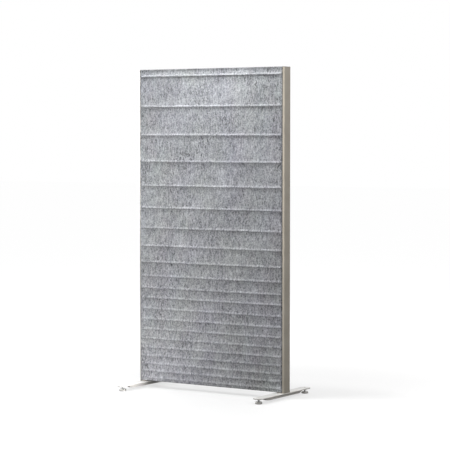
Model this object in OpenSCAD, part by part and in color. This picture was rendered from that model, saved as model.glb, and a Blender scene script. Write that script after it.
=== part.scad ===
// Free-standing acoustic divider screen: two moulded felt shells over an
// aluminium frame with a wadding core, on two cast feet with levelling glides.
// +X runs along the screen, -Y is the front, +Z is up, and the floor is z = 0.

/* [Screen] */
// Overall width over both posts
screen_w = 800; // [600:10:1400]
// Overall height from the floor to the top of the panel
screen_h = 1500; // [1100:10:1900]
// Depth of the panel from the front felt face to the back one
screen_d = 62; // [58:1:80]
// Height of the top of the feet above the floor, where the posts stand
foot_top_z = 27; // [25:1:40]
// Length of post that shows between the feet and the felt
post_reveal = 4; // [2:1:12]

/* [Posts and rails] */
// Width of a post from its outer face to the face that the rails meet
post_w = 36; // [35:1:50]
// Flat chamfer on each long outer corner of a post
post_chamfer = 6; // [4:0.5:8]
// Wall of the post extrusion
post_wall = 2.5; // [2:0.1:3]
// Thickness of the plate on a post cap
cap_t = 2; // [1.5:0.5:3]
// Depth of the peg that holds a cap in its post
cap_peg_h = 14; // [8:1:25]
// Depth of a rail's channel
rail_h = 30; // [28:1:45]
// Wall of a rail
rail_wall = 2.5; // [2:0.1:3]

/* [Felt and core] */
// Thickness of the moulded felt
felt_t = 4; // [3:0.5:5]
// Radius of the rounded outer edges of the felt
felt_bend_r = 3.6; // [2.2:0.2:4.8]
// Depth of the felt edge that is tucked into the groove of a post
felt_tuck = 15; // [8:1:16]
// Clearance between the felt and what it lies on
felt_fit = 0.3; // [0.2:0.05:0.5]
// Seam between the two shells along the top and the bottom
felt_seam = 1; // [0.6:0.1:2]
// Thickness of the board in the middle of the core
septum_t = 3; // [2:0.5:5]
// Clearance round the core
core_fit = 0.3; // [0.2:0.05:0.5]

/* [Ridges] */
// Width of the top ridge on the felt
ridge_top_w = 15; // [12:0.5:18]
// Width of the bottom ridge
ridge_bottom_w = 17; // [12:0.5:19]
// How far the top ridge stands out
ridge_top_h = 5.5; // [3.5:0.25:6.5]
// How far the bottom ridge stands out
ridge_bottom_h = 2.5; // [1.5:0.25:3.5]
// Distance from the top of the felt to the middle of the first ridge
ridge_top_margin = 33; // [25:1:80]
// Distance from the bottom of the felt to the middle of the last ridge
ridge_bottom_margin = 15.5; // [15:0.5:60]
// Flat felt left between each end of a ridge and the rounded edge
ridge_end_gap = 1.5; // [1:0.5:25]
// Length over which each end of the top ridge slopes down to the flat felt
ridge_slope_l = 8; // [5:1:8]
// Number of wide gaps between ridges, counted from the top
wide_gap_count = 11; // [4:1:12]
// Number of narrow gaps below the wide ones
narrow_gap_count = 9; // [4:1:12]

/* [Corner brackets] */
// Length of a bracket along its rail
bracket_l = 50; // [44:1:80]
// Length of a bracket down its post
bracket_h = 26; // [22:1:28]
// Width of a bracket across the channel
bracket_w = 44; // [38:1:48]
// Thickness of a bracket
bracket_t = 4; // [3:0.5:5]
// Diameter of the bracket screws
bracket_screw_d = 5; // [4:0.5:6]
// Spacing of the two screws in each leg of a bracket
bracket_screw_gap = 24; // [20:1:27]

/* [Feet] */
// Length of a foot over its round ends
foot_l = 450; // [380:10:600]
// Width of a foot
foot_w = 50; // [40:1:60]
// Thickness of the plate of a foot
foot_plate_t = 5; // [4:0.5:7]
// Distance from the outer face of a post to the middle of its foot
foot_inset = 25; // [22:0.5:25]
// Width of the keel under a foot
keel_w = 18; // [18:1:24]
// Height of the keel above the floor
keel_floor_gap = 8; // [5:0.5:10]
// Length of the keel's straight lower edge
keel_flat_l = 262; // [160:2:280]
// Length over which each end of the keel sweeps up to the plate
keel_sweep_l = 46; // [30:1:48]
// Bevel along the keel's lower edges
keel_edge = 1.5; // [0.5:0.25:2]
// Splay where the keel runs into the plate
keel_root = 2; // [1:0.25:3]
// Diameter of the screws that hold a foot to its post
foot_screw_d = 8; // [6:1:8]
// Length of those screws under the head
foot_screw_l = 35; // [30:1:60]
// Distance between the two screws in a foot
foot_screw_gap = 28; // [26:1:30]

/* [Levelling glides] */
// Diameter of a glide
glide_d = 32; // [28:1:36]
// Height of a glide, with its pad
glide_h = 10; // [9.5:0.5:11]
// Distance of a glide's stud from the end of its foot
glide_inset = 25; // [20:1:28]
// Diameter of the threaded stud
stud_d = 8; // [6:1:8]
// Depth of the threaded boss under the plate
boss_h = 4; // [3:0.5:4]
// Diameter of that boss
boss_d = 18; // [14:1:20]
// Thickness of the pad on the floor
pad_t = 3.5; // [3:0.25:4]
// Height by which the metal of a glide stays off the floor
pad_proud = 1; // [0.5:0.25:1.5]

/* [Hidden] */
$fn = 48;

// Finishes
anodised = "#b9b6b1";
mill_finish = "#c9cbcd";
felt_grey = "#9a9ca3";
wadding_white = "#e6e4dc";
board_brown = "#8d6f50";
cap_grey = "#9c9a96";
zinc = "#c4c6c8";
pad_grey = "#6e7072";

// Overrun of every cut, and the clearance of threads and turning fits
cut = 1;
run_fit = 0.05;

// Levels of the panel
post_top_z = screen_h - cap_t;
felt_bottom_z = foot_top_z + post_reveal;
felt_h = screen_h - felt_bottom_z;
rail_top_z = screen_h - felt_t - felt_fit;
rail_bottom_z = felt_bottom_z + felt_t + felt_fit;

// Section of a post: u runs in from its outer face, v runs from front to back
frame_half_d = screen_d / 2 - felt_t - felt_fit;
groove_end_gap = 1;
groove_floor_v = screen_d / 2 - felt_t - felt_tuck - groove_end_gap;
groove_inner_u = post_chamfer + felt_t + 2 * felt_fit;
port_wall = 2.4;
port_r = foot_screw_d / 2 + port_wall;
port_v = foot_screw_gap / 2;
port_rib_w = 4;
post_inner_x = screen_w / 2 - post_w;

// Felt
felt_half_w = screen_w / 2 - post_chamfer - felt_fit;
felt_top_half_w = post_inner_x - felt_fit;
felt_face_y = -screen_d / 2;

// Ridges: each gap is a share of the ridged zone, falling from the top down
first_wide_share = 0.1000;
wide_step_share = 0.0067;
first_narrow_share = 0.0364;
narrow_step_share = 0.0017;
gap_count = wide_gap_count + narrow_gap_count;
function gap_share(i) = i < wide_gap_count
  ? first_wide_share - i * wide_step_share
  : first_narrow_share - (i - wide_gap_count) * narrow_step_share;
function shares_above(i) = i == 0 ? 0 : gap_share(i - 1) + shares_above(i - 1);
function ridge_place(i) = shares_above(i) / shares_above(gap_count);
ridge_zone = felt_h - ridge_top_margin - ridge_bottom_margin;
function ridge_z(i) = screen_h - ridge_top_margin - ridge_zone * ridge_place(i);
function ridge_h(i) = ridge_top_h + (ridge_bottom_h - ridge_top_h) * ridge_place(i);
function ridge_w(i) = ridge_top_w + (ridge_bottom_w - ridge_top_w) * ridge_place(i);
// Radius of an arc over a chord, from the height of the arc
function arc_r(chord, height) = (pow(chord / 2, 2) + pow(height, 2)) / (2 * height);
ridge_half_l = felt_half_w - felt_bend_r - ridge_end_gap;
// Behind each ridge the tool leaves a shallow hollow in the felt
function hollow_w(i) = 0.6 * ridge_w(i);
hollow_half_l = ridge_half_l - ridge_slope_l;
function hollow_h(i) = 0.55 * felt_t * ridge_h(i) / ridge_top_h;

// Core
core_top_z = rail_top_z - rail_h - core_fit;
core_bottom_z = rail_bottom_z + rail_h + core_fit;
core_half_w = post_inner_x - core_fit;

// Corner brackets and their screws
bracket_screw_x = 0.66 * bracket_l;
bracket_screw_z = 0.6 * bracket_h;
bracket_hole_fit = 0.3;
bracket_head_d = 1.9 * bracket_screw_d;
bracket_head_h = 0.55 * bracket_screw_d;
bracket_socket_d = 0.68 * bracket_screw_d;
gusset_t = bracket_t;

// Feet
foot_x = screen_w / 2 - foot_inset;
foot_edge = 1.2;
keel_top_z = foot_top_z - foot_plate_t / 2;
plate_bottom_z = foot_top_z - foot_plate_t;
keel_steps = 10;
foot_screw_fit = 0.5;
foot_head_d = 1.6 * foot_screw_d;
foot_head_h = foot_screw_d;
foot_head_sink = 1.2;
foot_head_z = keel_floor_gap + foot_head_sink;
foot_socket_d = 0.86 * foot_screw_d;
washer_t = 1.5;
head_fit = 0.35;
foot_seat_z = foot_head_z + foot_head_h + washer_t;
glide_y = foot_l / 2 - glide_inset;

// Levelling glides
glide_edge = 2.5;
glide_rim = 1.6;
collar_gap = 0.2;
collar_h = 2.6;
collar_d = 1.6 * stud_d;
collar_z = pad_t + collar_gap;
stud_sink = 1;
stud_top_z = foot_top_z - stud_sink;
stud_socket_d = 0.55 * stud_d;
stud_socket_h = 0.45 * stud_d;

// Cavity plug of a cap
peg_fit = 0.3;

// POSTS

// Outline of a post, with a groove for the felt near each outer corner
module post_outline() {
  front = [
    [0, -(screen_d / 2 - post_chamfer)],
    [post_chamfer, -screen_d / 2],
    [post_chamfer, -groove_floor_v],
    [groove_inner_u, -groove_floor_v],
    [groove_inner_u, -frame_half_d],
    [post_w, -frame_half_d]
  ];
  back = [for (i = [len(front) - 1 : -1 : 0]) [front[i][0], -front[i][1]]];
  polygon(concat(front, back));
}

// The hollow inside: a wide box next to the panel and a narrow one outside it
module post_cavity() {
  box_u = groove_inner_u + post_wall;
  box_half = frame_half_d - post_wall;
  slot_half = groove_floor_v - post_wall;
  translate([box_u, -box_half]) square([post_w - post_wall - box_u, 2 * box_half]);
  translate([post_wall, -slot_half]) square([box_u - post_wall + cut, 2 * slot_half]);
}

// A screw port on its ribs, for one foot screw
module screw_port() {
  translate([foot_inset, port_v]) {
    circle(r = port_r);
    translate([0, -port_rib_w / 2]) square([post_w - foot_inset - post_wall / 2, port_rib_w]);
    translate([-port_rib_w / 2, 0]) square([port_rib_w, frame_half_d - port_v - post_wall / 2]);
  }
}

module post_section() {
  difference() {
    union() {
      difference() {
        post_outline();
        post_cavity();
      }
      screw_port();
      mirror([0, 1]) screw_port();
    }
    for (side = [-1, 1])
      translate([foot_inset, side * port_v]) circle(r = foot_screw_d / 2 + run_fit);
  }
}

module right_post() {
  color(anodised) difference() {
    translate([screen_w / 2, 0, foot_top_z]) mirror([1, 0, 0])
      linear_extrude(height = post_top_z - foot_top_z) post_section();
    for (end = [-1, 1]) at_corner(1, end) bracket_leg_holes(post_wall);
  }
}

module left_post() {
  mirror([1, 0, 0]) right_post();
}

// POST CAPS

module right_post_cap() {
  slot_half = groove_floor_v - post_wall - peg_fit;
  peg_w = foot_inset - port_r - post_wall - 2 * peg_fit;
  color(cap_grey) translate([screen_w / 2, 0, post_top_z]) mirror([1, 0, 0]) {
    linear_extrude(height = cap_t) polygon([
      [0, -(screen_d / 2 - post_chamfer)],
      [post_chamfer, -screen_d / 2],
      [post_chamfer, -frame_half_d],
      [post_w, -frame_half_d],
      [post_w, frame_half_d],
      [post_chamfer, frame_half_d],
      [post_chamfer, screen_d / 2],
      [0, screen_d / 2 - post_chamfer]
    ]);
    translate([post_wall + peg_fit, -slot_half, -cap_peg_h]) difference() {
      cube([peg_w, 2 * slot_half, cap_peg_h + cap_t / 2]);
      translate([post_wall, post_wall, -cut])
        cube([peg_w - 2 * post_wall, 2 * (slot_half - post_wall), cap_peg_h + cut]);
    }
  }
}

module left_post_cap() {
  mirror([1, 0, 0]) right_post_cap();
}

// RAILS

// A channel that opens towards the core, given for the bottom of the panel
module rail_channel() {
  difference() {
    translate([-post_inner_x, -frame_half_d, 0])
      cube([2 * post_inner_x, 2 * frame_half_d, rail_h]);
    translate([-post_inner_x - cut, -frame_half_d + rail_wall, rail_wall])
      cube([2 * (post_inner_x + cut), 2 * (frame_half_d - rail_wall), rail_h]);
  }
}

module bottom_rail() {
  color(mill_finish) difference() {
    translate([0, 0, rail_bottom_z]) rail_channel();
    for (side = [-1, 1]) at_corner(side, -1) bracket_foot_holes(rail_wall);
  }
}

module top_rail() {
  color(mill_finish) difference() {
    translate([0, 0, rail_top_z]) mirror([0, 0, 1]) rail_channel();
    for (side = [-1, 1]) at_corner(side, 1) bracket_foot_holes(rail_wall);
  }
}

// CORNER BRACKETS

// Puts a child in an inner corner of the frame, with +X and +Z leading inwards
module at_corner(side, end) {
  web_z = end > 0 ? rail_top_z - rail_wall : rail_bottom_z + rail_wall;
  translate([side * post_inner_x, 0, web_z])
    mirror([side > 0 ? 1 : 0, 0, 0]) mirror([0, 0, end > 0 ? 1 : 0]) children();
}

// Holes through the bracket's foot, and as deep again as depth beyond it
module bracket_foot_holes(depth, fit = run_fit) {
  for (side = [-1, 1])
    translate([bracket_screw_x, side * bracket_screw_gap / 2, -depth - cut])
      cylinder(d = bracket_screw_d + 2 * fit, h = depth + bracket_t + 2 * cut);
}

module bracket_leg_holes(depth, fit = run_fit) {
  for (side = [-1, 1])
    translate([-depth - cut, side * bracket_screw_gap / 2, bracket_screw_z])
      rotate([0, 90, 0]) cylinder(d = bracket_screw_d + 2 * fit, h = depth + bracket_t + 2 * cut);
}

module corner_bracket() {
  difference() {
    union() {
      translate([0, -bracket_w / 2, 0]) cube([bracket_l, bracket_w, bracket_t]);
      translate([0, -bracket_w / 2, 0]) cube([bracket_t, bracket_w, bracket_h]);
      translate([0, gusset_t / 2, 0]) rotate([90, 0, 0])
        linear_extrude(height = gusset_t) polygon([
          [bracket_t / 2, bracket_t / 2],
          [bracket_l - bracket_t, bracket_t / 2],
          [bracket_l - bracket_t, bracket_t],
          [bracket_t, bracket_h - bracket_t],
          [bracket_t / 2, bracket_h - bracket_t]
        ]);
    }
    bracket_foot_holes(bracket_t, bracket_hole_fit);
    bracket_leg_holes(bracket_t, bracket_hole_fit);
  }
}

module top_left_bracket() {
  color(zinc) at_corner(-1, 1) corner_bracket();
}

module top_right_bracket() {
  color(zinc) at_corner(1, 1) corner_bracket();
}

module bottom_left_bracket() {
  color(zinc) at_corner(-1, -1) corner_bracket();
}

module bottom_right_bracket() {
  color(zinc) at_corner(1, -1) corner_bracket();
}

// Button-head screw with its head on z = 0 and its point towards -Z
module button_screw(grip) {
  difference() {
    union() {
      cylinder(d = bracket_head_d, h = bracket_head_h / 2);
      translate([0, 0, bracket_head_h / 2])
        cylinder(d1 = bracket_head_d, d2 = bracket_head_d - bracket_head_h, h = bracket_head_h / 2);
      translate([0, 0, -grip]) cylinder(d = bracket_screw_d, h = grip + bracket_head_h / 4);
    }
    translate([0, 0, bracket_head_h / 2])
      cylinder(d = bracket_socket_d, h = bracket_head_h, $fn = 6);
  }
}

module bracket_screws() {
  color(zinc) for (side = [-1, 1], end = [-1, 1], row = [-1, 1])
    at_corner(side, end) {
      translate([bracket_screw_x, row * bracket_screw_gap / 2, bracket_t])
        button_screw(bracket_t + rail_wall);
      translate([bracket_t, row * bracket_screw_gap / 2, bracket_screw_z])
        rotate([0, 90, 0]) button_screw(bracket_t + post_wall);
    }
}

// FELT SHELLS

// A rod whose front stands proud of the plane y = 0 by a height
module ridge_rod(half_l, chord, height) {
  translate([-half_l, arc_r(chord, height) - height, 0])
    rotate([0, 90, 0]) cylinder(r = arc_r(chord, height), h = 2 * half_l);
}

// The space that ridges fill: from inside the sheet outwards, with sloping ends
module ridge_envelope() {
  lean = ridge_slope_l / ridge_top_h;
  root_d = felt_t / 4;
  front_d = ridge_top_h + cut;
  translate([0, felt_face_y, felt_bottom_z]) linear_extrude(height = felt_h) polygon([
    [-ridge_half_l - lean * root_d, root_d],
    [-ridge_half_l + lean * front_d, -front_d],
    [ridge_half_l - lean * front_d, -front_d],
    [ridge_half_l + lean * root_d, root_d]
  ]);
}

// Outline of a shallow box seen on edge, with its two front corners rounded
module round_front(half_l, depth) {
  difference() {
    translate([-half_l, 0]) square([2 * half_l, depth]);
    for (side = [-1, 1])
      translate([side * (half_l - felt_bend_r), felt_bend_r]) difference() {
        translate([side > 0 ? 0 : -felt_bend_r - cut, -felt_bend_r - cut])
          square([felt_bend_r + cut, felt_bend_r + cut]);
        circle(r = felt_bend_r);
      }
  }
}

// The same box as a bent sheet of felt, open at the back
module bent_felt(half_l, depth) {
  difference() {
    round_front(half_l, depth);
    translate([-half_l + felt_t, felt_t]) square([2 * (half_l - felt_t), depth]);
  }
}

// Face with tucked side edges, whose top edge is rounded off in front of the caps
module felt_face() {
  intersection() {
    translate([0, felt_face_y, felt_bottom_z]) difference() {
      linear_extrude(height = felt_h) bent_felt(felt_half_w, felt_t + felt_tuck);
      translate([-felt_half_w - cut, felt_t, post_top_z - felt_fit - felt_bottom_z])
        cube([2 * (felt_half_w + cut), felt_tuck + cut, cap_t + felt_fit + cut]);
    }
    along_panel(felt_half_w + cut) round_front(felt_h / 2, felt_t + felt_tuck + cut);
  }
}

// Turns an outline of depth over height and draws it out along the panel
module along_panel(half_l) {
  translate([-half_l, felt_face_y, felt_bottom_z + felt_h / 2]) rotate([0, 90, 0])
    linear_extrude(height = 2 * half_l) mirror([1, 0]) children();
}

// The moulded tray: face, tucked side edges, and returns over the two rails
module felt_tray() {
  difference() {
    union() {
      felt_face();
      along_panel(felt_top_half_w) bent_felt(felt_h / 2, screen_d / 2 - felt_seam / 2);
      intersection() {
        for (i = [0 : gap_count])
          translate([0, felt_face_y, ridge_z(i)]) ridge_rod(screen_w / 2, ridge_w(i), ridge_h(i));
        ridge_envelope();
      }
    }
    for (i = [0 : gap_count])
      translate([0, felt_face_y + felt_t, ridge_z(i)])
        ridge_rod(hollow_half_l, hollow_w(i), hollow_h(i));
  }
}

module front_felt_shell() {
  color(felt_grey) felt_tray();
}

module back_felt_shell() {
  color(felt_grey) mirror([0, 1, 0]) felt_tray();
}

// CORE

module core_layer(y, thickness) {
  translate([-core_half_w, y, core_bottom_z])
    cube([2 * core_half_w, thickness, core_top_z - core_bottom_z]);
}

module septum_board() {
  color(board_brown) core_layer(-septum_t / 2, septum_t);
}

module front_wadding() {
  color(wadding_white) core_layer(-frame_half_d, frame_half_d - septum_t / 2);
}

module back_wadding() {
  color(wadding_white) core_layer(septum_t / 2, frame_half_d - septum_t / 2);
}

// FEET

// Half of the section of the plate, with its upper edge broken
module plate_half_section() {
  polygon([
    [0, plate_bottom_z],
    [foot_w / 2 - foot_edge / 2, plate_bottom_z],
    [foot_w / 2, plate_bottom_z + foot_edge / 2],
    [foot_w / 2, foot_top_z - foot_edge],
    [foot_w / 2 - foot_edge, foot_top_z],
    [0, foot_top_z]
  ]);
}

module foot_plate() {
  straight = foot_l - foot_w;
  translate([0, straight / 2, 0]) rotate([90, 0, 0]) linear_extrude(height = straight) {
    plate_half_section();
    mirror([1, 0]) plate_half_section();
  }
  for (end = [-1, 1])
    translate([0, end * straight / 2, 0]) rotate_extrude() plate_half_section();
}

// Height of the keel's lower edge at a share of its sweep, as a smooth S
function sweep_z(share) =
  keel_floor_gap + (plate_bottom_z - keel_floor_gap) * (1 - cos(180 * share)) / 2;

// Section of the keel, with bevelled lower edges and splayed where it meets the plate
module keel_section() {
  right_side = [
    [keel_w / 2 - keel_edge, keel_floor_gap],
    [keel_w / 2, keel_floor_gap + keel_edge],
    [keel_w / 2, plate_bottom_z - keel_root],
    [keel_w / 2 + keel_root, plate_bottom_z],
    [keel_w / 2 + keel_root, keel_top_z]
  ];
  left_side = [for (i = [len(right_side) - 1 : -1 : 0]) [-right_side[i][0], right_side[i][1]]];
  polygon(concat(right_side, left_side));
}

module keel() {
  right_edge = [for (i = [0 : keel_steps])
    [keel_flat_l / 2 + keel_sweep_l * i / keel_steps, sweep_z(i / keel_steps)]];
  left_edge = [for (i = [keel_steps : -1 : 0]) [-right_edge[i][0], right_edge[i][1]]];
  top_y = keel_flat_l / 2 + keel_sweep_l;
  intersection() {
    rotate([90, 0, 90]) translate([0, 0, -keel_w]) linear_extrude(height = 2 * keel_w)
      polygon(concat(left_edge, right_edge, [[top_y, keel_top_z], [-top_y, keel_top_z]]));
    rotate([90, 0, 0]) translate([0, 0, -top_y - cut]) linear_extrude(height = 2 * (top_y + cut))
      keel_section();
  }
}

module foot() {
  difference() {
    union() {
      foot_plate();
      keel();
      for (end = [-1, 1])
        translate([0, end * glide_y, plate_bottom_z - boss_h])
          cylinder(d = boss_d, h = boss_h + foot_plate_t / 2);
    }
    for (end = [-1, 1]) {
      translate([0, end * glide_y, plate_bottom_z - boss_h - cut])
        cylinder(d = stud_d + 2 * run_fit, h = boss_h + foot_plate_t + 2 * cut);
      translate([0, end * port_v, keel_floor_gap - cut])
        cylinder(d = foot_screw_d + 2 * foot_screw_fit, h = foot_top_z - keel_floor_gap + 2 * cut);
      translate([0, end * port_v, keel_floor_gap - cut])
        cylinder(d = foot_head_d + 2 * head_fit, h = foot_seat_z - keel_floor_gap + cut);
    }
  }
}

module right_foot() {
  color(anodised) translate([foot_x, 0, 0]) foot();
}

module left_foot() {
  mirror([1, 0, 0]) right_foot();
}

// FOOT SCREWS

// Socket-head screw with its head below z = 0 and its point towards +Z
module cap_screw() {
  difference() {
    union() {
      translate([0, 0, -foot_head_h]) cylinder(d = foot_head_d, h = foot_head_h);
      cylinder(d = foot_screw_d, h = foot_screw_l);
    }
    translate([0, 0, -foot_head_h - cut])
      cylinder(d = foot_socket_d, h = foot_head_h / 2 + cut, $fn = 6);
  }
}

module at_foot_screws(z) {
  for (side = [-1, 1], end = [-1, 1])
    translate([side * foot_x, end * port_v, z]) children();
}

module foot_screws() {
  color(zinc) at_foot_screws(foot_seat_z - washer_t) cap_screw();
}

module foot_washers() {
  color(zinc) at_foot_screws(foot_seat_z - washer_t) difference() {
    cylinder(d = foot_head_d, h = washer_t);
    translate([0, 0, -cut])
      cylinder(d = foot_screw_d + foot_screw_fit, h = washer_t + 2 * cut);
  }
}

// LEVELLING GLIDES

module at_glide(side, end) {
  translate([side * foot_x, end * glide_y, 0]) children();
}

// Turned cup with a rounded upper edge, open below for the pad
module glide_cup() {
  recess_r = glide_d / 2 - glide_rim;
  rotate_extrude() difference() {
    union() {
      translate([0, pad_proud]) square([glide_d / 2, glide_h - pad_proud - glide_edge]);
      square([glide_d / 2 - glide_edge, glide_h]);
      translate([glide_d / 2 - glide_edge, glide_h - glide_edge]) circle(r = glide_edge);
    }
    translate([0, -cut]) square([recess_r, pad_t + cut]);
    square([collar_d / 2 + run_fit, collar_z + collar_h + collar_gap]);
    square([stud_d / 2 + run_fit, glide_h + cut]);
    translate([recess_r - cut, -cut]) square([glide_d, pad_proud + cut]);
  }
}

// Low disc that the cup holds, with its floor edge broken
module glide_pad() {
  pad_r = glide_d / 2 - glide_rim - run_fit;
  rotate_extrude() polygon([
    [0, 0],
    [pad_r - pad_proud / 2, 0],
    [pad_r, pad_proud / 2],
    [pad_r, pad_t],
    [0, pad_t]
  ]);
}

// Stud with a collar that turns in the cup and a hexagon socket in its top
module stud() {
  difference() {
    union() {
      translate([0, 0, collar_z]) cylinder(d = collar_d, h = collar_h);
      translate([0, 0, collar_z]) cylinder(d = stud_d, h = stud_top_z - collar_z);
    }
    translate([0, 0, stud_top_z - stud_socket_h])
      cylinder(d = stud_socket_d, h = stud_socket_h + cut, $fn = 6);
  }
}

module left_front_glide() {
  color(zinc) at_glide(-1, -1) glide_cup();
}

module left_back_glide() {
  color(zinc) at_glide(-1, 1) glide_cup();
}

module right_front_glide() {
  color(zinc) at_glide(1, -1) glide_cup();
}

module right_back_glide() {
  color(zinc) at_glide(1, 1) glide_cup();
}

module left_front_pad() {
  color(pad_grey) at_glide(-1, -1) glide_pad();
}

module left_back_pad() {
  color(pad_grey) at_glide(-1, 1) glide_pad();
}

module right_front_pad() {
  color(pad_grey) at_glide(1, -1) glide_pad();
}

module right_back_pad() {
  color(pad_grey) at_glide(1, 1) glide_pad();
}

module left_front_stud() {
  color(zinc) at_glide(-1, -1) stud();
}

module left_back_stud() {
  color(zinc) at_glide(-1, 1) stud();
}

module right_front_stud() {
  color(zinc) at_glide(1, -1) stud();
}

module right_back_stud() {
  color(zinc) at_glide(1, 1) stud();
}

left_post();
right_post();
top_rail();
bottom_rail();
top_left_bracket();
top_right_bracket();
bottom_left_bracket();
bottom_right_bracket();
bracket_screws();
front_felt_shell();
back_felt_shell();
front_wadding();
septum_board();
back_wadding();
left_post_cap();
right_post_cap();
left_foot();
right_foot();
foot_screws();
foot_washers();
left_front_glide();
left_back_glide();
right_front_glide();
right_back_glide();
left_front_pad();
left_back_pad();
right_front_pad();
right_back_pad();
left_front_stud();
left_back_stud();
right_front_stud();
right_back_stud();
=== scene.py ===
"""Acoustic divider screen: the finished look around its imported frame."""

import math

import bmesh
import bpy
import numpy as np
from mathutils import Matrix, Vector


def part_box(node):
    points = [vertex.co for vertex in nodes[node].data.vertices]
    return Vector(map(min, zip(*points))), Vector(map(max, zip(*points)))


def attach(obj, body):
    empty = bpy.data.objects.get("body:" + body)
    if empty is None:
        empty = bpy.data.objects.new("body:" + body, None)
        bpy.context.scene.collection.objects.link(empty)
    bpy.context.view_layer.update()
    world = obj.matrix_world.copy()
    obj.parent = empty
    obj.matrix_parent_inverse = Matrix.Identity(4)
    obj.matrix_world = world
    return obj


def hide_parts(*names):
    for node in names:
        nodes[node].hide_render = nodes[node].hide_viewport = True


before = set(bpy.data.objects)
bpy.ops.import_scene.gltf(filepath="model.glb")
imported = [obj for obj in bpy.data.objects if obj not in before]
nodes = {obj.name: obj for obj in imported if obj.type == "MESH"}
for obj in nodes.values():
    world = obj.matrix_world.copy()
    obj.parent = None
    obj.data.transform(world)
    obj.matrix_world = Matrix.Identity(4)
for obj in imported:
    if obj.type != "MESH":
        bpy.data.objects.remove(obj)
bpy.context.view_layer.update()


# Glide pads
# Each levelling glide stands on a low disc of dark grey polyamide, moulded with
# a fine spark-eroded grain and pressed into the metal cup above it.
corners = [side + "_" + end for side in ("left", "right") for end in ("front", "back")]


def add_node(tree, kind, *values, **settings):
    """A new node: its settings, then its inputs in order as sockets, values or None."""
    made = tree.nodes.new(kind)
    for name, value in settings.items():
        setattr(made, name, value)
    for socket, value in zip([s for s in made.inputs if s.enabled], values):
        if isinstance(value, bpy.types.NodeSocket):
            tree.links.new(value, socket)
        elif value is not None:
            socket.default_value = value
    return made


def calc(tree, operation, *values):
    """The result of one sum."""
    return add_node(tree, "ShaderNodeMath", *values, operation=operation).outputs[0]


def grain(tree, place, scale, detail=2.0, roughness=0.5):
    """Cloudy noise around 0.5; scale counts its lumps in a metre."""
    made = add_node(tree, "ShaderNodeTexNoise", noise_dimensions="3D")
    tree.links.new(place, made.inputs["Vector"])
    made.inputs["Scale"].default_value = scale
    made.inputs["Detail"].default_value = detail
    made.inputs["Roughness"].default_value = roughness
    return made.outputs[0]


def stretched(tree, place, factors):
    """The place with each axis multiplied, so a pattern is drawn out along the others."""
    return add_node(tree, "ShaderNodeVectorMath", place, factors, operation="MULTIPLY").outputs[0]


def ramp(tree, value, *stops):
    """A colour for a value, from stops of (value, colour)."""
    made = add_node(tree, "ShaderNodeValToRGB", value)
    elements = made.color_ramp.elements
    while len(elements) < len(stops):
        elements.new(0.5)
    for element, (position, colour) in zip(elements, stops):
        element.position = position
        element.color = (*colour, 1)
    return made.outputs[0]


def new_finish(name):
    """An empty material, with its tree, its surface shader and the object's own coordinates."""
    material = bpy.data.materials.new(name)
    material.use_nodes = True
    tree = material.node_tree
    place = add_node(tree, "ShaderNodeTexCoord").outputs["Object"]
    return material, tree, tree.nodes["Principled BSDF"], place


def set_surface(tree, shader, colour, rough, metallic, relief=None, depth=0.0):
    """Joins colour, roughness, metalness and a relief, whose depth is in metres, to the shader."""
    for name, value in (("Base Color", colour), ("Roughness", rough), ("Metallic", metallic)):
        if isinstance(value, bpy.types.NodeSocket):
            tree.links.new(value, shader.inputs[name])
        else:
            shader.inputs[name].default_value = (*value, 1) if isinstance(value, tuple) else value
    if relief is not None:
        bump = add_node(tree, "ShaderNodeBump")
        bump.inputs["Distance"].default_value = depth
        tree.links.new(relief, bump.inputs["Height"])
        tree.links.new(bump.outputs[0], shader.inputs["Normal"])


def finish_node(name, material):
    """Gives a carried-over solid its finish."""
    nodes[name].data.materials.clear()
    nodes[name].data.materials.append(material)


def moulded_plastic(name, dark, light, lumps, depth):
    """Plastic with an even moulded grain, of so many lumps in a metre and so deep."""
    rough_low, rough_range, lumps_in_cloud = 0.38, 0.25, 40
    material, tree, shader, place = new_finish(name)
    fine = grain(tree, place, lumps)
    cloud = grain(tree, place, lumps / lumps_in_cloud)
    colour = ramp(tree, cloud, (0.3, dark), (0.7, light))
    rough = calc(tree, "MULTIPLY_ADD", fine, rough_range, rough_low)
    set_surface(tree, shader, colour, rough, 0.0, fine, depth)
    return material


pad_lumps, pad_grain_depth = 1800, 0.00006
pad_dark, pad_light = (0.085, 0.09, 0.095), (0.12, 0.125, 0.13)
pad_plastic = moulded_plastic("pad_plastic", pad_dark, pad_light, pad_lumps, pad_grain_depth)
for corner in corners:
    finish_node(corner + "_pad", pad_plastic)


# Glide cups
# A cup is turned from steel bar and nickel plated. The tool leaves fine rings round
# its axis, which the plating keeps.
ring_pitch, ring_depth = 0.0006, 0.000004
nickel_dark, nickel_light = (0.43, 0.42, 0.40), (0.55, 0.54, 0.52)

cup_low, cup_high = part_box("right_front_glide")
glide_x, glide_y = abs(cup_low.x + cup_high.x) / 2, abs(cup_low.y + cup_high.y) / 2


def axes_of(tree, vector):
    """The three numbers of a vector."""
    return add_node(tree, "ShaderNodeSeparateXYZ", vector).outputs


def reach(tree, along_x, along_y):
    """The length of a level line from its parts along X and Y."""
    squares = calc(tree, "MULTIPLY_ADD", along_x, along_x, calc(tree, "MULTIPLY", along_y, along_y))
    return calc(tree, "SQRT", squares)


def from_axis(tree, place):
    """Distance from the axis of the nearest glide, whose places mirror each other."""
    x, y, _ = axes_of(tree, place)
    return reach(tree, calc(tree, "SUBTRACT", calc(tree, "ABSOLUTE", x), glide_x),
                 calc(tree, "SUBTRACT", calc(tree, "ABSOLUTE", y), glide_y))


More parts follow.
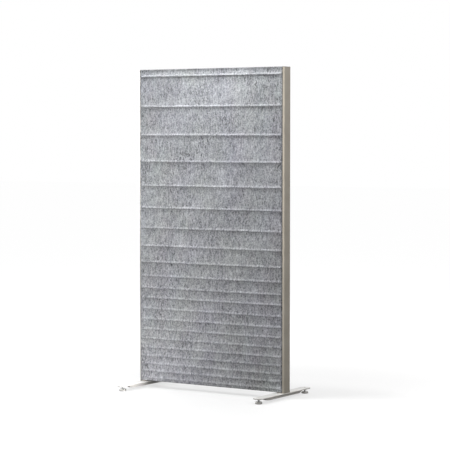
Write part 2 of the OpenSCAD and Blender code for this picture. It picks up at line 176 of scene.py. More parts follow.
def turned_metal(name, dark, light, rough_low, rough_range):
    """Turned and plated steel with tool rings."""
    material, tree, shader, place = new_finish(name)
    turns = calc(tree, "MULTIPLY", from_axis(tree, place), math.tau / ring_pitch)
    rings = calc(tree, "SINE", turns)
    cloud = grain(tree, place, 160, 4)
    colour = ramp(tree, cloud, (0.3, dark), (0.7, light))
    rough = calc(tree, "MULTIPLY_ADD", cloud, rough_range, rough_low)
    set_surface(tree, shader, colour, rough, 1.0, rings, ring_depth)
    return material


nickel = turned_metal("nickel_plate", nickel_dark, nickel_light, 0.26, 0.2)
for corner in corners:
    finish_node(corner + "_glide", nickel)


# Levelling studs
# An M8 stud of zinc-plated steel screws into the foot, and its collar turns in the cup. Its
# right-hand thread is rolled, and a hexagon socket in its top takes a key from above.
shank_r, stud_collar_h, stud_edge = 0.004, 0.0026, 0.0005
thread_pitch, thread_depth, thread_runout = 0.00125, 0.00077, 0.0012
thread_above_collar = 0.001
crest_share, root_share = 0.12, 0.8
rows_in_pitch, stud_sides = 10, 36
socket_r, socket_h = 0.0022, 0.0036
spangle_depth = 0.00001
zinc_dark, zinc_light = (0.44, 0.45, 0.46), (0.60, 0.61, 0.62)


def plated_steel(name, dark, light, rough_low, rough_range):
    """Zinc plate with its faint spangle."""
    material, tree, shader, place = new_finish(name)
    spangle = grain(tree, place, 500, 3)
    colour = ramp(tree, grain(tree, place, 90, 5, 0.7), (0.35, dark), (0.65, light))
    rough = calc(tree, "MULTIPLY_ADD", spangle, rough_range, rough_low)
    set_surface(tree, shader, colour, rough, 1.0, spangle, spangle_depth)
    return material


def link_new(name, data):
    """A new object in the scene, at the origin, of a mesh, a lamp or a camera."""
    made = bpy.data.objects.new(name, data)
    bpy.context.scene.collection.objects.link(made)
    return made


def link_shape(name, shape, smooth=False):
    """A new object in the scene from a worked shape, with smooth or flat faces."""
    mesh = bpy.data.meshes.new(name)
    shape.to_mesh(mesh)
    shape.free()
    mesh.polygons.foreach_set("use_smooth", [smooth] * len(mesh.polygons))
    return link_new(name, mesh)


def turned_blank(name, low, high):
    """The stud before its thread is rolled: collar, shank and socket as rings round the axis."""
    collar_r = (high.x - low.x) / 2
    shank_low, shank_high = low.z + stud_collar_h, high.z - stud_edge
    rows = np.arange(shank_low, shank_high, thread_pitch / rows_in_pitch)
    rings = ([(collar_r - stud_edge, low.z), (collar_r, low.z + stud_edge),
              (collar_r, shank_low - stud_edge), (collar_r - stud_edge, shank_low)]
             + [(shank_r, z) for z in rows]
             + [(shank_r, shank_high), (shank_r - stud_edge, high.z),
                (None, high.z), (None, high.z - socket_h)])
    angles = np.arange(stud_sides) * math.tau / stud_sides
    flat = socket_r * math.cos(math.pi / 6)
    shape = bmesh.new()
    loops = []
    for radius, z in rings:
        radii = [radius or flat / math.cos(a % (math.pi / 3) - math.pi / 6) for a in angles]
        loops.append([shape.verts.new(((low.x + high.x) / 2 + r * math.cos(a),
                                       (low.y + high.y) / 2 + r * math.sin(a), z))
                      for r, a in zip(radii, angles)])
    for lower, upper in zip(loops, loops[1:]):
        for i in range(stud_sides):
            k = (i + 1) % stud_sides
            shape.faces.new([lower[i], lower[k], upper[k], upper[i]])
    shape.faces.new(loops[0][::-1])
    shape.faces.new(loops[-1])
    return link_shape(name, shape)


def remap(tree, value, *limits, **settings):
    """A value carried from one range to another, and held at its ends."""
    return add_node(tree, "ShaderNodeMapRange", value, *limits, **settings).outputs[0]


def start_tree(name, counts, sizes):
    """A geometry tree with named inputs for counts and sizes, and the sockets they come from."""
    tree = bpy.data.node_groups.new(name, "GeometryNodeTree")
    face = tree.interface
    face.new_socket(name="Geometry", in_out="INPUT", socket_type="NodeSocketGeometry")
    for labels, kind in ((counts, "NodeSocketInt"), (sizes, "NodeSocketFloat")):
        for label in labels:
            face.new_socket(name=label, in_out="INPUT", socket_type=kind)
    face.new_socket(name="Geometry", in_out="OUTPUT", socket_type="NodeSocketGeometry")
    return tree, tree.nodes.new("NodeGroupInput").outputs


def end_tree(tree, geometry, offset, material):
    """The end of a geometry tree: points moved by an offset, made real and given their finish."""
    moved = add_node(tree, "GeometryNodeSetPosition")
    tree.links.new(geometry, moved.inputs["Geometry"])
    tree.links.new(offset, moved.inputs["Offset"])
    real = add_node(tree, "GeometryNodeRealizeInstances", moved.outputs[0])
    painted = add_node(tree, "GeometryNodeSetMaterial", real.outputs[0])
    painted.inputs["Material"].default_value = material
    ending = tree.nodes.new("NodeGroupOutput")
    tree.links.new(painted.outputs[0], ending.inputs["Geometry"])


def thread_tree(material):
    """Geometry nodes that press a right-hand helix into a shank round an upright axis."""
    tree, given = start_tree("rolled_thread", [], [
        "Axis X", "Axis Y", "Shank Radius", "Pitch", "Depth", "Crest Share", "Root Share",
        "Start", "End", "Run Out"])
    x, y, z = axes_of(tree, add_node(tree, "GeometryNodeInputPosition").outputs[0])
    out_x = calc(tree, "SUBTRACT", x, given["Axis X"])
    out_y = calc(tree, "SUBTRACT", y, given["Axis Y"])
    rounding = 0.00001
    on_shank = calc(tree, "COMPARE", reach(tree, out_x, out_y), given["Shank Radius"], rounding)
    # the groove: its phase round and up the shank, as 0 at the crest and 1 at the root
    turned = calc(tree, "DIVIDE", calc(tree, "ARCTAN2", out_y, out_x), math.tau)
    climbed = calc(tree, "DIVIDE", z, given["Pitch"])
    phase = calc(tree, "FRACT", calc(tree, "SUBTRACT", climbed, turned))
    flank = calc(tree, "MULTIPLY", calc(tree, "ABSOLUTE", calc(tree, "SUBTRACT", phase, 0.5)), 2.0)
    groove = remap(tree, flank, given["Crest Share"], given["Root Share"], 0.0, 1.0)
    # the thread starts and ends in a run-out, and leaves the collar and the socket alone
    from_start = calc(tree, "SUBTRACT", z, given["Start"])
    from_end = calc(tree, "SUBTRACT", given["End"], z)
    nearest = calc(tree, "MINIMUM", from_start, from_end)
    fade = remap(tree, nearest, 0.0, given["Run Out"], 0.0, 1.0)
    press = calc(tree, "MULTIPLY", calc(tree, "MULTIPLY", groove, given["Depth"]),
                 calc(tree, "MULTIPLY", fade, on_shank))
    share = calc(tree, "DIVIDE", press, calc(tree, "MULTIPLY", given["Shank Radius"], -1.0))
    push = add_node(tree, "ShaderNodeCombineXYZ", calc(tree, "MULTIPLY", out_x, share),
                    calc(tree, "MULTIPLY", out_y, share), 0.0)
    end_tree(tree, given["Geometry"], push.outputs[0], material)
    return tree


def run_tree(piece, tree, values):
    """Sets a tree's named inputs on a piece and turns the result into its plain mesh."""
    modifier = piece.modifiers.new("nodes", "NODES")
    modifier.node_group = tree
    for item in tree.interface.items_tree:
        if item.item_type == "SOCKET" and item.in_out == "INPUT" and item.name in values:
            modifier[item.identifier] = values[item.name]
    settled = piece.evaluated_get(bpy.context.evaluated_depsgraph_get())
    mesh = bpy.data.meshes.new_from_object(settled)
    piece.modifiers.remove(modifier)
    piece.data = mesh


zinc_plate = plated_steel("zinc_plate", zinc_dark, zinc_light, 0.25, 0.25)
rolled = thread_tree(zinc_plate)
for corner in corners:
    low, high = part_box(corner + "_stud")
    stud = turned_blank(corner + "_threaded_stud", low, high)
    run_tree(stud, rolled, {
        "Axis X": (low.x + high.x) / 2, "Axis Y": (low.y + high.y) / 2, "Shank Radius": shank_r,
        "Pitch": thread_pitch, "Depth": thread_depth,
        "Crest Share": crest_share, "Root Share": root_share,
        "Start": low.z + stud_collar_h + thread_above_collar, "End": high.z - stud_edge,
        "Run Out": thread_runout,
    })
    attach(stud, corner + "_screw")
    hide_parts(corner + "_stud")


# Feet
# A foot is a die casting: a flat plate with round ends over a keel that sweeps up to its
# tips. All is lacquered silver. Where it faces up, its colour is painted lighter, a painted
# highlight for the light from above; the flanks keep their casting skin.
skin_depth = 0.00005
flank_dark, flank_light = (0.57, 0.55, 0.525), (0.66, 0.64, 0.615)
lit_top_dark, lit_top_light = (0.64, 0.635, 0.615), (0.73, 0.725, 0.705)


def cast_metal(name):
    """Lacquered casting with a brushed grain: painted lighter where it faces up, a painted
    highlight, and warmer, darker and pitted elsewhere.
    """
    painted_light_step, grain_share, pits_on_top = 0.6, 0.2, 0.1
    rough_low, rough_range = 0.36, 0.14
    material, tree, shader, place = new_finish(name)
    up = axes_of(tree, add_node(tree, "ShaderNodeNewGeometry").outputs["Normal"])[2]
    top = remap(tree, up, 0.5, 0.9, 0.0, 1.0)
    brushed = grain(tree, stretched(tree, place, (900, 60, 900)), 1, 4, 0.6)
    skin = grain(tree, place, 700, 4, 0.7)
    # the step up in colour on faces that face up is a painted highlight for the light from above
    shade = calc(tree, "ADD", calc(tree, "MULTIPLY", top, painted_light_step),
                 calc(tree, "MULTIPLY", calc(tree, "ADD", brushed, skin), grain_share))
    colour = ramp(tree, shade, (0.12, flank_dark), (0.28, flank_light),
                  (0.72, lit_top_dark), (0.88, lit_top_light))
    rough = calc(tree, "MULTIPLY_ADD", brushed, rough_range, rough_low)
    pits = calc(tree, "MULTIPLY", skin, calc(tree, "SUBTRACT", 1 + pits_on_top, top))
    set_surface(tree, shader, colour, rough, 0.1, pits, skin_depth)
    return material


foot_lacquer = cast_metal("foot_lacquer")
for side in ("left", "right"):
    finish_node(side + "_foot", foot_lacquer)


# Posts
# Each post is one aluminium extrusion, etched and anodised natural. Faint die lines run
# its whole height. Its chamfers, between the felt and the side, are painted lighter: a painted
# highlight.
die_line_depth = 0.000012
chamfer_painted_highlight = 0.4
anodised_dark, anodised_light = (0.29, 0.264, 0.224), (0.332, 0.305, 0.264)


def scaled(tree, colour, factor):
    """A colour made lighter or darker by a factor."""
    made = add_node(tree, "ShaderNodeVectorMath", colour, operation="SCALE")
    tree.links.new(factor, made.inputs["Scale"])
    return made.outputs[0]


def satin_metal(name, dark, light, stretch, rough_low, metallic, depth, highlight_gain=0.0):
    """Satin metal with a drawn grain along one axis; a gain paints a highlight on its upright
    chamfers.
    """
    rough_range = 0.14
    material, tree, shader, place = new_finish(name)
    drawn = grain(tree, stretched(tree, place, stretch), 1, 4, 0.6)
    cloud = grain(tree, place, 14, 3)
    mixed = calc(tree, "MULTIPLY_ADD", drawn, 0.5, calc(tree, "MULTIPLY", cloud, 0.5))
    colour = ramp(tree, mixed, (0.38, dark), (0.62, light))
    x, y, _ = axes_of(tree, add_node(tree, "ShaderNodeNewGeometry").outputs["True Normal"])
    # a half where an upright face slants by 45 degrees, nothing where it is square
    slant = calc(tree, "ABSOLUTE", calc(tree, "MULTIPLY", x, y))
    # painted highlight: the colour is made lighter on upright faces that slant
    colour = scaled(tree, colour, remap(tree, slant, 0.3, 0.5, 1.0, 1.0 + highlight_gain))
    rough = calc(tree, "MULTIPLY_ADD", drawn, rough_range, rough_low)
    set_surface(tree, shader, colour, rough, metallic, drawn, depth)
    return material


anodised = satin_metal("natural_anodised", anodised_dark, anodised_light, (1400, 1400, 3),
                       0.38, 0.55, die_line_depth, chamfer_painted_highlight)
for side in ("left", "right"):
    finish_node(side + "_post", anodised)


# Foot screws and washers
# Two M8 socket-head screws rise through each foot into the screw ports of its post,
# with a plain washer under each head. All are zinc plated.
for name in ("foot_screws", "foot_washers"):
    finish_node(name, zinc_plate)


# Rails
# Two channels of mill-finish aluminium tie the posts together under the felt. They
# carry the drawing marks of the extrusion along their length.
drawn_depth = 0.00002
mill_dark, mill_light = (0.55, 0.56, 0.57), (0.66, 0.67, 0.68)

mill_finish = satin_metal("mill_finish", mill_dark, mill_light, (3, 1300, 1300),
                          0.3, 1.0, drawn_depth)
for name in ("top_rail", "bottom_rail"):
    finish_node(name, mill_finish)


# Corner brackets and their screws
# Pressed steel brackets with a web hold rail and post square. Four M5 button-head
# screws go through each one. Brackets and screws are zinc plated.
for name in ("top_left_bracket", "top_right_bracket", "bottom_left_bracket",
             "bottom_right_bracket", "bracket_screws"):
    finish_node(name, zinc_plate)


# Septum board
# A thin hardboard sheet stands in the middle of the core. It is pressed from brown
# wood fibre, smooth on one face, and adds the weight that stops sound.
fibre_depth = 0.0001
board_dark, board_light = (0.10, 0.055, 0.028), (0.25, 0.16, 0.095)
board_brown = (0.17, 0.10, 0.055)


def hardboard(name):
    """Pressed brown fibres, a little drawn out."""
    material, tree, shader, place = new_finish(name)
    fibres = grain(tree, stretched(tree, place, (260, 260, 190)), 1, 6, 0.7)
    colour = ramp(tree, fibres, (0.3, board_dark), (0.5, board_brown), (0.72, board_light))
    rough = calc(tree, "MULTIPLY_ADD", fibres, 0.3, 0.45)
    set_surface(tree, shader, colour, rough, 0.0, fibres, fibre_depth)
    return material


finish_node("septum_board", hardboard("hardboard"))


# Wadding
# A batt of lofty white polyester wadding fills the space between the board and each
# felt shell. Its faces undulate a little, and its edges are cut with a knife.
batt_step, batt_layers = 0.03, 3
batt_dip = 0.0022
batt_waves = 5.0  # in a metre
batt_slant_rate = 11.5  # radians in a metre
tangle_lumps, tangle_depth = 420, 0.0012
fleece_dark, fleece_light = (0.62, 0.61, 0.57), (0.88, 0.87, 0.84)


def make_batt(name, node, seed):
    """A batt inside its solid: the faces dip, most of all along the cut edges."""
    low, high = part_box(node)
    shape = bmesh.new()
    bmesh.ops.create_cube(shape, size=1.0)
    for vertex in shape.verts:
        vertex.co = [(l + h) / 2 + c * (h - l) for c, l, h in zip(vertex.co, low, high)]
    counts = {0: round((high.x - low.x) / batt_step), 2: round((high.z - low.z) / batt_step),
              1: batt_layers}
    for axis, count in counts.items():
        for cut in range(1, count):
            level = low[axis] + (high[axis] - low[axis]) * cut / count
            normal = [float(axis == a) for a in range(3)]
            bmesh.ops.bisect_plane(shape, geom=shape.verts[:] + shape.edges[:] + shape.faces[:],
                                   plane_co=[level * n for n in normal], plane_no=normal)
    middle = (low + high) / 2
    for vertex in shape.verts:
        x, y, z = vertex.co
        wave = (math.sin(batt_waves * x * math.tau + seed) * math.sin(batt_waves * z * math.tau)
                + math.sin(batt_slant_rate * (x + z) + 2 * seed)) / 4 + 0.5
        inward = batt_dip * wave
        edge = min(x - low.x, high.x - x, z - low.z, high.z - z)
        if edge < batt_step / 2:
            inward += batt_dip
        vertex.co.y += inward if y < middle.y else -inward if y > middle.y else 0
    return link_shape(name, shape, smooth=True)


def fleece(name):
    """White wadding: tangled fibres with soft shadows between them."""
    material, tree, shader, place = new_finish(name)
    tangle = grain(tree, place, tangle_lumps, 6, 0.75)
    colour = ramp(tree, tangle, (0.25, fleece_dark), (0.7, fleece_light))
    set_surface(tree, shader, colour, 0.95, 0.0, tangle, tangle_depth)
    shader.inputs["Sheen Weight"].default_value = 0.3
    return material


white_fleece = fleece("white_fleece")
for seed, side in enumerate(("front", "back")):
    batt = make_batt(side + "_batt", side + "_wadding", seed)
    batt.data.materials.append(white_fleece)
    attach(batt, "screen")
    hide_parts(side + "_wadding")


# Felt shells
# Each face of the screen is one tray of grey melange polyester felt, 4 mm thick, pressed
# hot over a tool that raises 21 ridges. They lie wide apart at the top and close together
# at the bottom. Its side edges are tucked into the grooves of the posts.
felt_t, felt_bend_r = 0.004, 0.0042
felt_tuck_d = 0.019
felt_return_half_w = 0.3637
felt_below_cap = 0.0023
felt_unevenness = 0.0006
ridge_top_w, ridge_bottom_w = 0.0095, 0.0112
ridge_top_h, ridge_bottom_h = 0.0058, 0.0023
ridge_under_share = 0.55
ridge_top_margin, ridge_bottom_margin = 0.0335, 0.0150
ridge_end_gap, ridge_slope_l = 0.004, 0.008
wide_gaps, narrow_gaps = 11, 9
gap_shares = ([0.1000 - 0.0067 * i for i in range(wide_gaps)]
              + [0.0364 - 0.0017 * i for i in range(narrow_gaps)])

felt_low, felt_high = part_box("front_felt_shell")
felt_face_y = felt_low.y + ridge_top_h
ridge_zone = felt_high.z - felt_low.z - ridge_top_margin - ridge_bottom_margin
gap_unit = ridge_zone / sum(gap_shares)
ridge_levels = [felt_high.z - ridge_top_margin - gap_unit * sum(gap_shares[:i])
                for i in range(wide_gaps + narrow_gaps + 1)]
ridge_widths = list(np.interp(ridge_levels, [ridge_levels[-1], ridge_levels[0]],
                              [ridge_bottom_w, ridge_top_w]))


def folded_line(low, high, depth, inner):
    """Points (place, depth) round a section: up one fold, across the face, down the other."""
    points_in_bend, points_in_flap = 7, 4
    bend = [(felt_bend_r * (1 - math.sin(a)), felt_bend_r * (1 - math.cos(a)))
            for a in np.linspace(math.pi / 2, 0, points_in_bend)]
    flap = [(0.0, d) for d in np.linspace(depth, felt_bend_r, points_in_flap)[:-1]]
    start = [(low + place, d) for place, d in flap + bend]
    end = [(high - place, d) for place, d in reversed(flap + bend)]
    return start + [(p, 0.0) for p in inner] + end


def felt_net():
    """The sheet before pressing: columns fine where ridges end, rows fine across each ridge."""
    after_bend, before_slope, fine_step, middle_columns = 0.0012, 0.002, 0.0015, 32
    rows_under, rows_over, rest_step = 7, 10, 0.02
    above_first, below_last = 0.012, 0.007
    half_w = felt_high.x
    fine_end = half_w - ridge_end_gap - ridge_slope_l - before_slope
    side = list(np.arange(half_w - felt_bend_r - after_bend, fine_end, -fine_step))
    middle = list(np.linspace(-fine_end, fine_end, middle_columns))
    columns = folded_line(-half_w, half_w, felt_tuck_d, [-x for x in side] + middle + side[::-1])
    rows = []
    for level, width in zip(ridge_levels, ridge_widths):
        rows += [level + width * d for d in np.linspace(-ridge_under_share, 0, rows_under + 1)[:-1]]
        rows += [level + width * d for d in np.linspace(0, 1, rows_over)]
    for upper, upper_w, lower, lower_w in zip(ridge_levels, ridge_widths,
                                              ridge_levels[1:], ridge_widths[1:]):
        bottom = lower + lower_w
        top = upper - upper_w * ridge_under_share
        rows += list(np.linspace(bottom, top, 2 + int((top - bottom) / rest_step))[1:-1])
    rows += [felt_high.z - above_first, felt_low.z + below_last]
    return_d = felt_high.y - felt_face_y
    return columns, folded_line(felt_low.z, felt_high.z, return_d, sorted(rows))


def press_sheet(name):
    """The net as a mesh; its returns stop short of the posts, its side edges below the caps."""
    columns, rows = felt_net()
    past_bend = felt_bend_r * 1.001  # a hair more, for rounding
    shape = bmesh.new()
    grid = {}
    for i, (x, x_depth) in enumerate(columns):
        for j, (z, z_depth) in enumerate(rows):
            grid[i, j] = shape.verts.new((x, felt_face_y + max(x_depth, z_depth), z))
    for i in range(len(columns) - 1):
        for j in range(len(rows) - 1):
            x_depth = max(columns[i][1], columns[i + 1][1])
            z_depth = max(rows[j][1], rows[j + 1][1])
            top_z = max(rows[j][0], rows[j + 1][0])
            outer = max(abs(columns[i][0]), abs(columns[i + 1][0])) > felt_return_half_w
            if z_depth > past_bend and outer:
                continue
            if x_depth > past_bend and top_z > felt_high.z - felt_below_cap:
                continue
            shape.faces.new([grid[i, j], grid[i + 1, j], grid[i + 1, j + 1], grid[i, j + 1]])
    loose = [v for v in shape.verts if not v.link_faces]
    bmesh.ops.delete(shape, geom=loose, context="VERTS")
    return link_shape(name, shape, smooth=True)


def store_rise(tree, geometry, value=None):
    """Keeps how far each point of the sheet has risen so far, at first nothing."""
    made = add_node(tree, "GeometryNodeStoreNamedAttribute", data_type="FLOAT", domain="POINT")
    made.inputs["Name"].default_value = "rise"
    tree.links.new(geometry, made.inputs["Geometry"])
    if value is not None:
        tree.links.new(value, made.inputs["Value"])
    return made.outputs[0]


def ridge_tree(material):
    """Geometry nodes that raise the ridges one after another and let their ends run out."""
    tree, given = start_tree("pressed_ridges", ["Wide Gaps", "Narrow Gaps"], [
        "Top Width", "Bottom Width", "Top Height", "Bottom Height", "First Level", "Last Level",
        "First Wide Gap", "Wide Gap Step", "First Narrow Gap", "Narrow Gap Step",
        "Underside Share", "Ridge Half Length", "End Slope", "Unevenness"])
    place = add_node(tree, "GeometryNodeInputPosition").outputs[0]
    x, _, z = axes_of(tree, place)
    begin = tree.nodes.new("GeometryNodeRepeatInput")
    finish = tree.nodes.new("GeometryNodeRepeatOutput")
    begin.pair_with_output(finish)
    finish.repeat_items.new("FLOAT", "Level")
    gaps = calc(tree, "ADD", given["Wide Gaps"], given["Narrow Gaps"])
    tree.links.new(calc(tree, "ADD", gaps, 1.0), begin.inputs["Iterations"])
    tree.links.new(store_rise(tree, given["Geometry"]), begin.inputs["Geometry"])
    tree.links.new(given["First Level"], begin.inputs["Level"])
    # one ridge: a long flank above its crest and a short steep one below
    level, turn = begin.outputs["Level"], begin.outputs["Iteration"]
    width, height = (remap(tree, level, given["First Level"], given["Last Level"],
                           given["Top " + size], given["Bottom " + size])
                     for size in ("Width", "Height"))
    offset = calc(tree, "SUBTRACT", z, level)
    is_above = calc(tree, "GREATER_THAN", offset, 0.0)
    under = given["Underside Share"]
    share = calc(tree, "MULTIPLY_ADD", is_above, calc(tree, "SUBTRACT", 1.0, under), under)
    flank_w = calc(tree, "MULTIPLY", width, share)
    away = calc(tree, "DIVIDE", calc(tree, "ABSOLUTE", offset), flank_w)
    angle = calc(tree, "MULTIPLY", calc(tree, "MINIMUM", away, 1.0), math.pi)
    crown = calc(tree, "MULTIPLY_ADD", calc(tree, "COSINE", angle), 0.5, 0.5)
    rise = add_node(tree, "GeometryNodeInputNamedAttribute", "rise", data_type="FLOAT").outputs[0]
    higher = calc(tree, "MAXIMUM", rise, calc(tree, "MULTIPLY", crown, height))
    tree.links.new(store_rise(tree, begin.outputs["Geometry"], higher), finish.inputs["Geometry"])
    # the step down to the next ridge
    wide = calc(tree, "SUBTRACT", given["First Wide Gap"],
                calc(tree, "MULTIPLY", turn, given["Wide Gap Step"]))
    narrow_turn = calc(tree, "SUBTRACT", turn, given["Wide Gaps"])
    narrow = calc(tree, "SUBTRACT", given["First Narrow Gap"],
                  calc(tree, "MULTIPLY", narrow_turn, given["Narrow Gap Step"]))
    is_narrow = calc(tree, "GREATER_THAN", calc(tree, "ADD", turn, 0.5), given["Wide Gaps"])
    closer = calc(tree, "MULTIPLY", is_narrow, calc(tree, "SUBTRACT", narrow, wide))
    gap = calc(tree, "ADD", wide, closer)
    tree.links.new(calc(tree, "SUBTRACT", level, gap), finish.inputs["Level"])
    # the ends slope down, and the whole sheet is a little uneven
    inside = calc(tree, "SUBTRACT", given["Ridge Half Length"], calc(tree, "ABSOLUTE", x))
    fade = remap(tree, inside, 0.0, given["End Slope"], 0.0, 1.0, interpolation_type="SMOOTHSTEP")
    cloud = calc(tree, "SUBTRACT", grain(tree, place, 7, 2), 0.5)
    wave = calc(tree, "MULTIPLY", calc(tree, "MULTIPLY", cloud, given["Unevenness"]), fade)
    out = calc(tree, "ADD", calc(tree, "MULTIPLY", rise, fade), wave)
    push = add_node(tree, "ShaderNodeCombineXYZ", 0.0, calc(tree, "MULTIPLY", out, -1.0), 0.0)
    end_tree(tree, finish.outputs["Geometry"], push.outputs[0], material)
    return tree


def tinted(tree, colour, value, *stops):
    """A colour multiplied by a ramp of faint tints."""
    mix = add_node(tree, "ShaderNodeMix", data_type="RGBA", blend_type="MULTIPLY")
    mix.inputs["Factor"].default_value = 1.0
    tree.links.new(colour, mix.inputs[6])
    tree.links.new(ramp(tree, value, *stops), mix.inputs[7])
    return mix.outputs[2]


felt_dark, felt_grey, felt_light = (0.10, 0.102, 0.112), (0.342, 0.346, 0.366), (0.62, 0.625, 0.65)
cool_tint, warm_tint = (0.976, 1.0, 1.024), (1.018, 1.0, 0.98)
plum_tint, green_tint = (1.018, 0.98, 1.016), (0.984, 1.02, 0.986)
knot_from, knot_to, knot_shade = 0.84, 0.93, 0.45
# painted shade along the top edge and the right edge of the felt
painted_shade_from, painted_shade_to, painted_shade_level = 0.001, 0.006, 0.5
painted_shade_side_share, painted_shade_top_share = 0.6, 0.3
felt_relief = 0.00015


def melange_felt(name):
    """Matt felt of light and dark fibres in clouds, with painted shade along its top and right
    edge.
    """
    material, tree, shader, place = new_finish(name)
    streak = grain(tree, stretched(tree, place, (120, 120, 40)), 1, 2, 0.5)
    speck = grain(tree, stretched(tree, place, (170, 170, 130)), 1, 4, 0.85)
    fibre = grain(tree, stretched(tree, place, (1500, 1500, 420)), 1, 3, 0.7)
    patch = grain(tree, place, 9, 2, 0.6)
    mixed = calc(tree, "MULTIPLY", speck, 0.53)
    for layer, share in ((streak, 0.20), (fibre, 0.16), (patch, 0.11)):
        mixed = calc(tree, "MULTIPLY_ADD", layer, share, mixed)
    colour = ramp(tree, mixed, (0.39, felt_dark), (0.5, felt_grey), (0.61, felt_light))
    cool_warm = grain(tree, stretched(tree, place, (6, 6, 4)), 1, 3, 0.65)
    colour = tinted(tree, colour, cool_warm, (0.3, cool_tint), (0.7, warm_tint))
    plum_green = grain(tree, stretched(tree, place, (5, 5, 4)), 1, 3, 0.65)
    colour = tinted(tree, colour, plum_green, (0.3, plum_tint), (0.7, green_tint))
    # knots of dark fibre, and painted shade along the top edge and the right edge, where the felt
    # meets the post
    knot = calc(tree, "MULTIPLY_ADD", grain(tree, place, 7, 1), 0.4,
                grain(tree, stretched(tree, place, (120, 120, 70)), 1, 2, 0.5))
    dim = remap(tree, knot, knot_from, knot_to, 1.0, knot_shade)
    x, _, z = axes_of(tree, place)
    from_side = calc(tree, "MULTIPLY", calc(tree, "SUBTRACT", felt_high.x, x), painted_shade_side_share)
    from_top = calc(tree, "MULTIPLY", calc(tree, "SUBTRACT", felt_high.z, z), painted_shade_top_share)
    nearest = calc(tree, "MINIMUM", from_side, from_top)
    painted_edge_shade = remap(tree, nearest, painted_shade_from, painted_shade_to, painted_shade_level, 1.0)
    colour = scaled(tree, colour, calc(tree, "MULTIPLY", dim, painted_edge_shade))
    set_surface(tree, shader, colour, 0.92, 0.0, calc(tree, "ADD", fibre, speck), felt_relief)
    shader.inputs["Sheen Weight"].default_value = 0.1
    shader.inputs["Specular IOR Level"].default_value = 0.2
    return material


felt_finish = melange_felt("melange_felt")
pressed = ridge_tree(felt_finish)
ridge_values = {
    "Wide Gaps": wide_gaps, "Narrow Gaps": narrow_gaps,
    "Top Width": ridge_top_w, "Bottom Width": ridge_bottom_w,
    "Top Height": ridge_top_h, "Bottom Height": ridge_bottom_h,
    "First Level": ridge_levels[0], "Last Level": ridge_levels[-1],
    "First Wide Gap": gap_unit * gap_shares[0],
    "Wide Gap Step": gap_unit * (gap_shares[0] - gap_shares[1]),
    "First Narrow Gap": gap_unit * gap_shares[wide_gaps],
    "Narrow Gap Step": gap_unit * (gap_shares[wide_gaps] - gap_shares[wide_gaps + 1]),
    "Underside Share": ridge_under_share,
    "Ridge Half Length": felt_high.x - ridge_end_gap, "End Slope": ridge_slope_l,
    "Unevenness": felt_unevenness,
}
for side in ("front", "back"):
    felt = press_sheet(side + "_felt")
    run_tree(felt, pressed, ridge_values)
    if side == "back":
        for vertex in felt.data.vertices:
            vertex.co.y *= -1
        felt.data.flip_normals()
    wall = felt.modifiers.new("thickness", "SOLIDIFY")
    wall.thickness = felt_t
    wall.offset = -1
    wall.use_even_offset = True
    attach(felt, "screen")
    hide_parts(side + "_felt_shell")


# Post caps
# A moulded cap closes the top of each hollow post. It is grey plastic with the same
# outline as the post, and its peg is pressed into the cavity.
cap_lumps, cap_grain_depth = 1500, 0.00005
cap_dark, cap_light = (0.24, 0.235, 0.225), (0.29, 0.285, 0.275)
cap_plastic = moulded_plastic("cap_plastic", cap_dark, cap_light, cap_lumps, cap_grain_depth)
for side in ("left", "right"):
    finish_node(side + "_post_cap", cap_plastic)


# Studio floor
# A seamless white sheet. Camera rays see it lifted to white, while it still takes the
# soft shadow of the screen.
floor_half = 30.0
paper_grey = 0.27
# the lift is lower near the middle: a painted shade round the screen
near_lift, far_lift = 0.64, 0.95
near_r, far_r = 0.6, 2.4
lift_in_gloss = 0.05


def white_sheet(name):
    """White paper that a camera sees lifted, least of all near the middle; a reflection less."""
    material = bpy.data.materials.new(name)
    material.use_nodes = True
    tree = material.node_tree
    tree.nodes.remove(tree.nodes["Principled BSDF"])
    paper = add_node(tree, "ShaderNodeBsdfDiffuse", (paper_grey, paper_grey, paper_grey, 1))
    place = add_node(tree, "ShaderNodeTexCoord").outputs["Object"]
    away = add_node(tree, "ShaderNodeVectorMath", place, operation="LENGTH").outputs["Value"]
    # less lift near the middle paints shade round the screen, on top of its real shadow
    lift = remap(tree, away, near_r, far_r, near_lift, far_lift, interpolation_type="SMOOTHSTEP")
    rays = add_node(tree, "ShaderNodeLightPath").outputs
    seen = calc(tree, "MULTIPLY_ADD", rays["Is Glossy Ray"], lift_in_gloss,
                calc(tree, "MAXIMUM", rays["Is Camera Ray"], rays["Is Transmission Ray"]))
    glow = add_node(tree, "ShaderNodeEmission", (1, 1, 1, 1), calc(tree, "MULTIPLY", seen, lift))
    both = add_node(tree, "ShaderNodeAddShader", paper.outputs[0], glow.outputs[0])
    tree.links.new(both.outputs[0], tree.nodes["Material Output"].inputs["Surface"])
    return material


floor_mesh = bpy.data.meshes.new("floor")
floor_mesh.from_pydata([(-floor_half, -floor_half, 0), (floor_half, -floor_half, 0),
                        (floor_half, floor_half, 0), (-floor_half, floor_half, 0)],
                       [], [(0, 1, 2, 3)])
floor_mesh.materials.append(white_sheet("white_paper"))
floor = link_new("floor", floor_mesh)


# Light
# A white surround, and soft boxes: the strongest two hang high over the front and the back
# and rake down the felt. Weaker ones fill from close by, from the left and from the right.
ambient = 0.15
cool_light, cooler_light = (0.96, 0.985, 1.0), (0.94, 0.98, 1.0)
pale_light, warm_light = (0.97, 0.98, 1.0), (1.0, 0.94, 0.84)


def seen_by_eye(tree):
    """1 for rays of the camera, of reflections and of transmission, 0 for those that light."""
    rays = add_node(tree, "ShaderNodeLightPath").outputs
    return calc(tree, "MAXIMUM", rays["Is Camera Ray"],
                calc(tree, "MAXIMUM", rays["Is Glossy Ray"], rays["Is Transmission Ray"]))


world = bpy.data.worlds.new("studio")
bpy.context.scene.world = world
world.use_nodes = True
sky = world.node_tree
background = sky.nodes["Background"]
background.inputs["Color"].default_value = (1, 1, 1, 1)
sky.links.new(remap(sky, seen_by_eye(sky), 0.0, 1.0, ambient, 1.0), background.inputs["Strength"])


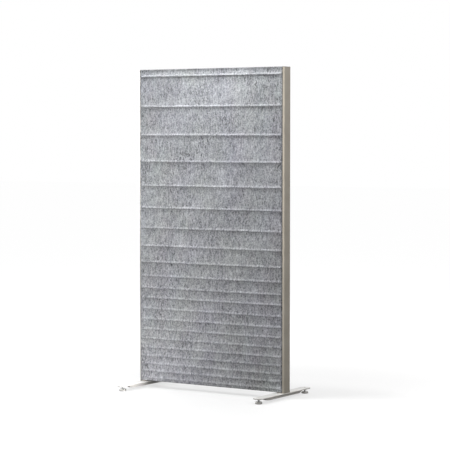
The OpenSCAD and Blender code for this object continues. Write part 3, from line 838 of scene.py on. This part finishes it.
def soft_box(name, place, target, width, height, watts, colour=(1, 1, 1), spread=180):
    """A rectangular lamp that faces its target, with a grid that narrows its beam to a spread."""
    lamp = bpy.data.lights.new(name, "AREA")
    lamp.shape = "RECTANGLE"
    lamp.size, lamp.size_y, lamp.energy, lamp.color = width, height, watts, colour
    lamp.spread = math.radians(spread)
    holder = link_new(name, lamp)
    holder.location = place
    holder.rotation_euler = (Vector(target) - Vector(place)).to_track_quat("-Z", "Y").to_euler()
    holder.visible_camera = False


soft_box("overhead", (-0.5, -0.75, 4.5), (0.0, 0.0, 1.0), 0.8, 0.3, 86)
soft_box("left_top", (-0.4, -0.6, 2.6), (0.0, 0.0, 1.0), 0.5, 0.3, 3.0)
soft_box("close_top", (0.04, -0.36, 1.95), (0.06, 0.0, 1.3), 0.4, 0.15, 4.2, cool_light)
soft_box("front_top", (0.0, -0.9, 1.35), (0.0, 0.0, 1.2), 0.3, 0.2, 2.8, cooler_light)
soft_box("left_middle", (-0.65, -0.75, 0.85), (-0.05, 0.0, 0.6), 0.3, 0.5, 2.9)
soft_box("left_low", (-0.4, -0.5, 0.1), (-0.2, 0.0, 0.06), 0.6, 0.1, 1.3)
soft_box("left_foot", (-0.1, -0.2, 0.04), (-0.375, -0.16, 0.015), 0.2, 0.03, 0.07, spread=40)
soft_box("overhead_back", (0.3, 0.8, 4.2), (0.0, 0.0, 1.0), 1.0, 0.4, 48)
soft_box("back_fill", (-2.9, 1.6, 1.3), (0.0, 0.0, 0.8), 1.2, 1.2, 50)
soft_box("right_strip", (2.66, -0.9, 1.3), (0.4, 0.0, 1.1), 0.2, 1.5, 12, warm_light)
soft_box("right_side", (1.7, -0.05, 0.9), (0.4, 0.0, 0.1), 0.2, 0.4, 6, pale_light)
soft_box("right_top", (1.2, 0.1, 2.2), (0.4, 0.0, 1.4), 0.3, 0.3, 9)


# Camera
# It stands in front and to the right, at chest height, and dips slightly.
camera_place = (4.5724, -6.8698, 1.1859)
camera_turn, camera_dip = 33.27, 2.834
picture_width, focal_pixels = 450, 1785.76
sensor_width = 36.0

camera_data = bpy.data.cameras.new("camera")
camera_data.sensor_width = sensor_width
camera_data.lens = sensor_width * focal_pixels / picture_width
camera = link_new("camera", camera_data)
camera.location = camera_place
camera.rotation_euler = (math.radians(90 - camera_dip), 0, math.radians(camera_turn))
bpy.context.scene.camera = camera
bpy.context.scene.view_settings.view_transform = "Standard"
